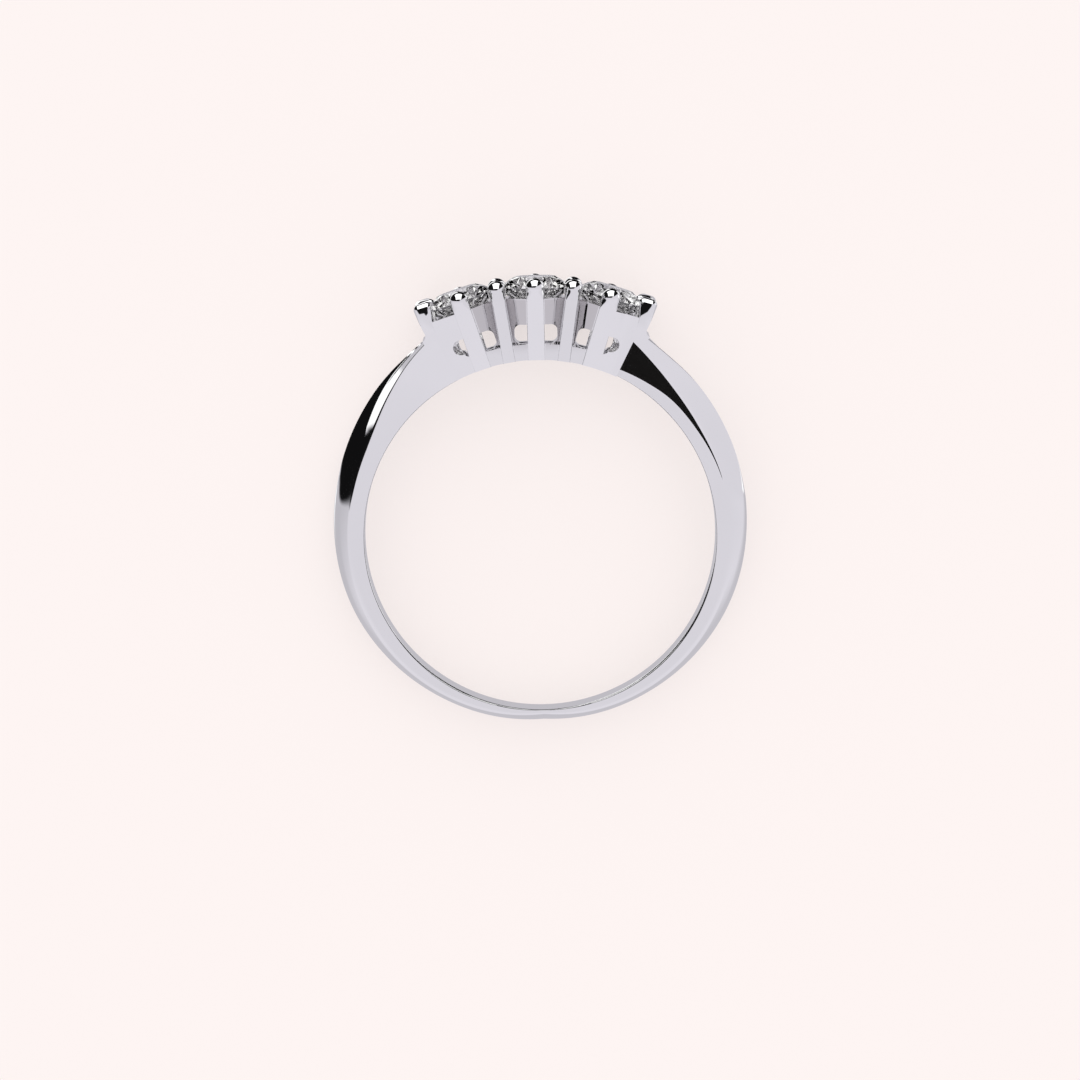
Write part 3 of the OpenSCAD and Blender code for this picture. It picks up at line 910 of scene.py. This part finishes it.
def pale_floor():
    bpy.ops.mesh.primitive_plane_add(size=6, location=(0, 0, 0))
    floor = bpy.context.object
    floor.name = "floor"
    mat, nodes, links = node_material("floor")
    out = nodes.new("ShaderNodeOutputMaterial")
    mix = nodes.new("ShaderNodeMixShader")
    glow = nodes.new("ShaderNodeEmission")
    dull = nodes.new("ShaderNodeBsdfDiffuse")
    glow.inputs["Color"].default_value = PALE
    dull.inputs["Color"].default_value = PALE
    mix.inputs["Fac"].default_value = 0.3
    links.new(glow.outputs["Emission"], mix.inputs[1])
    links.new(dull.outputs["BSDF"], mix.inputs[2])
    links.new(mix.outputs["Shader"], out.inputs["Surface"])
    floor.data.materials.append(mat)
    floor.visible_glossy = False
    floor.visible_transmission = False


def studio():
    """The light tent, which only gloss and clear stones see."""
    world = bpy.data.worlds.new("studio")
    scene.world = world
    world.use_nodes = True
    nt = world.node_tree
    nodes, links = nt.nodes, nt.links
    nodes.clear()

    math_node, product, minus, ramp, mix, ring_axes = math_tools(nodes, links)
    where = nodes.new("ShaderNodeTexCoord")
    x, y, z = ring_axes(where.outputs["Generated"])

    # A grey tent, brighter below and darker behind
    level = math_node("ADD", 1.0, product(ramp(y, *TENT_LOW), TENT_LOW_GAIN))
    level = product(level, mix(ramp(z, *TENT_BACK), 1.0, TENT_BACK_LEVEL))

    # The softbox, the wall and the strip are white
    up = math_node("ARCTAN2", y, z)
    beside = math_node("ABSOLUTE", minus(x, BOX_MID))
    box = product(ramp(up, *BOX_FRONT), ramp(up, *BOX_BACK), ramp(beside, *BOX_SIDE))
    left = product(math_node("MINIMUM", x, 0.0), WALL_SLANT)
    wall = product(
        ramp(minus(z, left), *WALL_BACK),
        ramp(minus(y, product(left, WALL_SLANT_UP)), *WALL_UP),
        ramp(math_node("ABSOLUTE", minus(x, WALL_GAP_MID)), *WALL_GAP),
    )
    low = ramp(y, *CARD_TOP)
    strip = product(ramp(x, *STRIP_SIDE), low, ramp(z, *STRIP_BACK), ramp(y, *STRIP_LOW))
    white = math_node("MAXIMUM", math_node("MAXIMUM", box, wall), strip)

    # The rest is dark above, but for the card
    card = product(ramp(x, *CARD_SIDE), low)
    above = math_node("ADD", y, product(math_node("MINIMUM", z, 0.0), DARK_BACK_SLANT))
    above = minus(above, product(math_node("MAXIMUM", x, 0.0), DARK_RIGHT_SLANT))
    dark = product(
        ramp(above, *DARK_UP), minus(1.0, card), ramp(z, *DARK_BACK), minus(1.0, white)
    )
    level = product(level, mix(dark, 1.0, DARK_LEVEL))
    level = mix(white, level, mix(box, WALL_LEVEL, SOFTBOX))

    shade = nodes.new("ShaderNodeMix")
    shade.data_type = "RGBA"
    links.new(white, shade.inputs[0])
    shade.inputs[6].default_value = TENT_COLOR
    shade.inputs[7].default_value = WHITE

    # The stones gather a softer light
    path = nodes.new("ShaderNodeLightPath")
    passed = math_node("MINIMUM", path.outputs["Transmission Depth"], 1.0)
    level = mix(product(passed, STONE_SOFT), level, 1.0)

    tent = nodes.new("ShaderNodeBackground")
    links.new(level, tent.inputs["Strength"])
    links.new(shade.outputs[2], tent.inputs["Color"])
    plain = nodes.new("ShaderNodeBackground")
    plain.inputs["Color"].default_value = WHITE
    seen = nodes.new("ShaderNodeBackground")
    seen.inputs["Color"].default_value = PALE
    first = nodes.new("ShaderNodeMixShader")
    links.new(path.outputs["Is Diffuse Ray"], first.inputs["Fac"])
    links.new(tent.outputs[0], first.inputs[1])
    links.new(plain.outputs[0], first.inputs[2])
    second = nodes.new("ShaderNodeMixShader")
    links.new(path.outputs["Is Camera Ray"], second.inputs["Fac"])
    links.new(first.outputs[0], second.inputs[1])
    links.new(seen.outputs[0], second.inputs[2])
    out = nodes.new("ShaderNodeOutputWorld")
    links.new(second.outputs[0], out.inputs["Surface"])


def flag():
    """A small black flag over the finger hole, which mainly shows in the shoulders' hollows."""
    bpy.ops.mesh.primitive_circle_add(vertices=64, radius=FLAG_R, fill_type="NGON")
    obj = bpy.context.object
    obj.name = "flag"
    obj.data.transform(PLACE @ Matrix.Translation((0, 0, FLAG_UP)))
    mat, nodes, links = node_material("flag")
    out = nodes.new("ShaderNodeOutputMaterial")
    dull = nodes.new("ShaderNodeBsdfDiffuse")
    dull.inputs["Color"].default_value = (0.01, 0.01, 0.01, 1)
    links.new(dull.outputs["BSDF"], out.inputs["Surface"])
    obj.data.materials.append(mat)
    obj.visible_camera = False
    obj.visible_diffuse = False
    obj.visible_transmission = False
    obj.visible_shadow = False


def camera():
    """As the photo sees the ring, from a little towards the head beside the finger hole's axis."""
    lie = Matrix.Rotation(REST_TILT, 3, "X")
    centre = PLACE @ Vector((0, 0, 0))
    back = lie @ Vector((0, math.sin(VIEW_UP), math.cos(VIEW_UP)))
    up = lie @ Vector((0, math.cos(VIEW_UP), -math.sin(VIEW_UP)))
    right = up.cross(back)
    cam_up = up * math.cos(VIEW_TURN) + right * math.sin(VIEW_TURN)
    cam_right = cam_up.cross(back)
    data = bpy.data.cameras.new("camera")
    data.sensor_width = SENSOR_MM
    data.lens = PX_PER_MM * 1000 * VIEW_AWAY / PHOTO_PX * SENSOR_MM
    data.clip_start = 0.01
    data.clip_end = 100
    obj = bpy.data.objects.new("camera", data)
    scene.collection.objects.link(obj)
    px = 1 / PX_PER_MM / 1000
    off_right, off_up = VIEW_OFF_PX
    spot = centre + back * VIEW_AWAY - cam_right * off_right * px - cam_up * off_up * px
    basis = Matrix((cam_right, cam_up, back)).transposed().to_4x4()
    obj.matrix_world = Matrix.Translation(spot) @ basis
    scene.camera = obj


pale_floor()
studio()
flag()
camera()
scene.view_settings.view_transform = "Standard"
# Light turns many times inside a cut stone before it leaves
scene.cycles.max_bounces = LIGHT_BOUNCES
scene.cycles.glossy_bounces = MIRROR_BOUNCES
scene.cycles.transmission_bounces = LIGHT_BOUNCES
